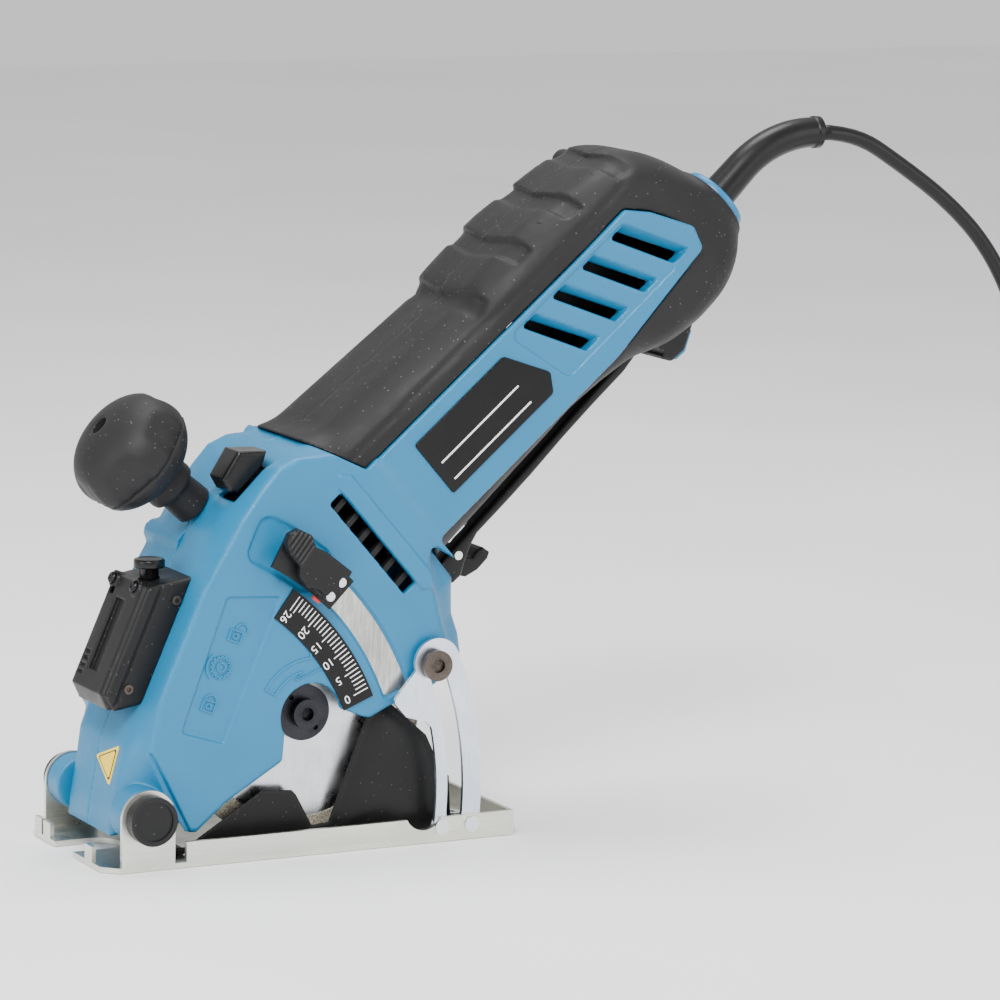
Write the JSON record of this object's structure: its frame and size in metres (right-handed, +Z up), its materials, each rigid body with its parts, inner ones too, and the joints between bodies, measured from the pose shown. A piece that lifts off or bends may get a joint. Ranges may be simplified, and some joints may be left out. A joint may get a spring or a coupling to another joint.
{
  "type": "track plunge saw",
  "caption": "Compact corded plunge saw with a pivoting motor unit on a steel sole, guarded grinding disc, depth stop, laser and front knob.",
  "frame": {"origin": "centre of the sole's bottom face", "axes": "-X is the cutting direction, +X the handle end, -Y the blade side, +Z up"},
  "size_m": [0.5007, 0.1074, 0.2368],
  "materials": {
    "sole_zinc": "bright zinc-plated steel sheet",
    "bracket_zinc": "zinc-plated steel, bluish",
    "dark_steel": "black oxide steel",
    "bright_steel": "ground steel",
    "spring_steel": "spring wire",
    "blue_plastic": "fine-textured blue nylon",
    "black_plastic": "moulded black plastic",
    "black_grip": "soft-touch overmould",
    "black_gloss": "gloss black label",
    "caution_yellow": "printed foil",
    "scale_black": "black scale with white marks",
    "blade_steel": "circular-ground disc",
    "diamond_rim": "sintered diamond grit rim",
    "cast_alloy": "die-cast alloy",
    "copper": "enamelled copper",
    "laminated_steel": "stacked laminations",
    "red_plastic": "red pointer",
    "laser_glass": "tinted window",
    "cord_rubber": "black rubber lead"
  },
  "bodies": {
    "base": {"base_plate": "sole_zinc", "guide_bracket": "bracket_zinc", "bracket_rivets": "bright_steel", "pivot_pin": "bright_steel", "pivot_caps": "black_plastic", "return_spring": "spring_steel", "blade_guard": "black_plastic", "guard_screws": "bright_steel", "mains_cord": "cord_rubber", "cord_coil": "cord_rubber", "mains_plug": "black_plastic"},
    "saw_unit": {"head_shell_left": "blue_plastic", "head_shell_right": "blue_plastic", "handle_shell_left": "black_grip", "handle_shell_right": "black_grip", "side_panels": "blue_plastic", "label_plate": "black_gloss", "caution_plate": "caution_yellow", "scale_plate": "scale_black", "depth_rack": "bright_steel", "guide_screw": "dark_steel", "housing_screws": "dark_steel", "front_knob": "black_plastic", "knob_stud": "bright_steel", "laser_case": "black_plastic", "laser_window": "laser_glass", "laser_screws": "dark_steel", "gear_case": "cast_alloy", "ball_bearings": "bright_steel", "motor_plate": "cast_alloy", "stator_core": "laminated_steel", "field_coils": "copper", "brush_gear": "copper", "power_switch": "black_plastic", "cord_clamp": "black_plastic", "cord_collar": "blue_plastic", "bend_sleeve": "cord_rubber"},
    "blade_spindle": {"spindle_shaft": "bright_steel", "spindle_gear": "bright_steel", "inner_flange": "dark_steel", "outer_flange": "dark_steel", "blade_disc": "blade_steel", "blade_rim": "diamond_rim", "blade_bolt": "dark_steel"},
    "idler": {"idler_gear": "bright_steel"},
    "lay_unit": {"layshaft": "bright_steel", "crown_gear": "bright_steel"},
    "armature": {"armature_shaft": "bright_steel", "armature_core": "laminated_steel", "commutator": "copper", "cooling_fan": "black_plastic"},
    "paddle": {"paddle_lever": "black_plastic", "catch_pin": "bright_steel"},
    "lock_off": {"lock_off_catch": "black_plastic"},
    "spindle_lock": {"spindle_lock_button": "black_plastic"},
    "depth_stop": {"depth_slider": "black_plastic", "depth_pointer": "red_plastic", "lever_pins": "bright_steel"},
    "depth_thumb": {"depth_lever": "black_plastic"},
    "laser_switch": {"laser_button": "black_plastic"}
  },
  "joints": [
    {"name": "plunge", "type": "hinge", "parent": "base", "child": "saw_unit", "pos_m": [-0.0596, 0, 0.0175], "axis": [0, 1, 0], "range_deg": [0, 24.3], "stiffness_Nm_per_rad": 3, "springref_deg": -51.57, "deforming": ["return_spring", "mains_cord"]},
    {"name": "blade_spin", "type": "hinge", "parent": "saw_unit", "child": "blade_spindle", "pos_m": [0.001, 0, 0.046], "axis": [0, 1, 0], "continuous": true},
    {"name": "idler_spin", "type": "hinge", "parent": "saw_unit", "child": "idler", "pos_m": [-0.00924, 0, 0.06364], "axis": [0, 1, 0], "continuous": true},
    {"name": "layshaft_spin", "type": "hinge", "parent": "saw_unit", "child": "lay_unit", "pos_m": [-0.00274, 0, 0.08043], "axis": [0, 1, 0], "continuous": true},
    {"name": "armature_spin", "type": "hinge", "parent": "saw_unit", "child": "armature", "pos_m": [0.04956, 0, 0.1259], "axis": [0.7547, 0, 0.6561], "continuous": true},
    {"name": "paddle_squeeze", "type": "hinge", "parent": "saw_unit", "child": "paddle", "pos_m": [0.13146, 0, 0.16277], "axis": [0, 1, 0], "range_deg": [0, 2.5], "stiffness_Nm_per_rad": 6, "springref_deg": -6.88},
    {"name": "lock_off_turn", "type": "hinge", "parent": "paddle", "child": "lock_off", "pos_m": [0.06399, 0, 0.09299], "axis": [0, 1, 0], "range_deg": [0, 25], "stiffness_Nm_per_rad": 0.02, "springref_deg": -34.38},
    {"name": "spindle_lock_press", "type": "slide", "parent": "saw_unit", "child": "spindle_lock", "axis": [0.4833, 0, -0.8755], "range_m": [0, 0.003], "stiffness_N_per_m": 800, "springref_m": -0.001},
    {"name": "depth_set", "type": "hinge", "parent": "saw_unit", "child": "depth_stop", "pos_m": [-0.0596, 0, 0.0175], "axis": [0, 1, 0], "range_deg": [0, 24.3]},
    {"name": "depth_thumb_press", "type": "hinge", "parent": "depth_stop", "child": "depth_thumb", "pos_m": [-0.00375, -0.038, 0.09161], "axis": [-0.6018, 0, -0.7986], "range_deg": [0, 3.5], "stiffness_Nm_per_rad": 0.1, "springref_deg": -17.19},
    {"name": "laser_press", "type": "slide", "parent": "saw_unit", "child": "laser_switch", "axis": [0, 0, -1], "range_m": [0, 0.001], "stiffness_N_per_m": 600, "springref_m": -0.001}
  ],
  "couplings": [
    {"joint": "idler_spin", "follows": "blade_spin", "ratio": -1.4286},
    {"joint": "layshaft_spin", "follows": "blade_spin", "ratio": 1.25},
    {"joint": "armature_spin", "follows": "blade_spin", "ratio": 4.375}
  ]
}
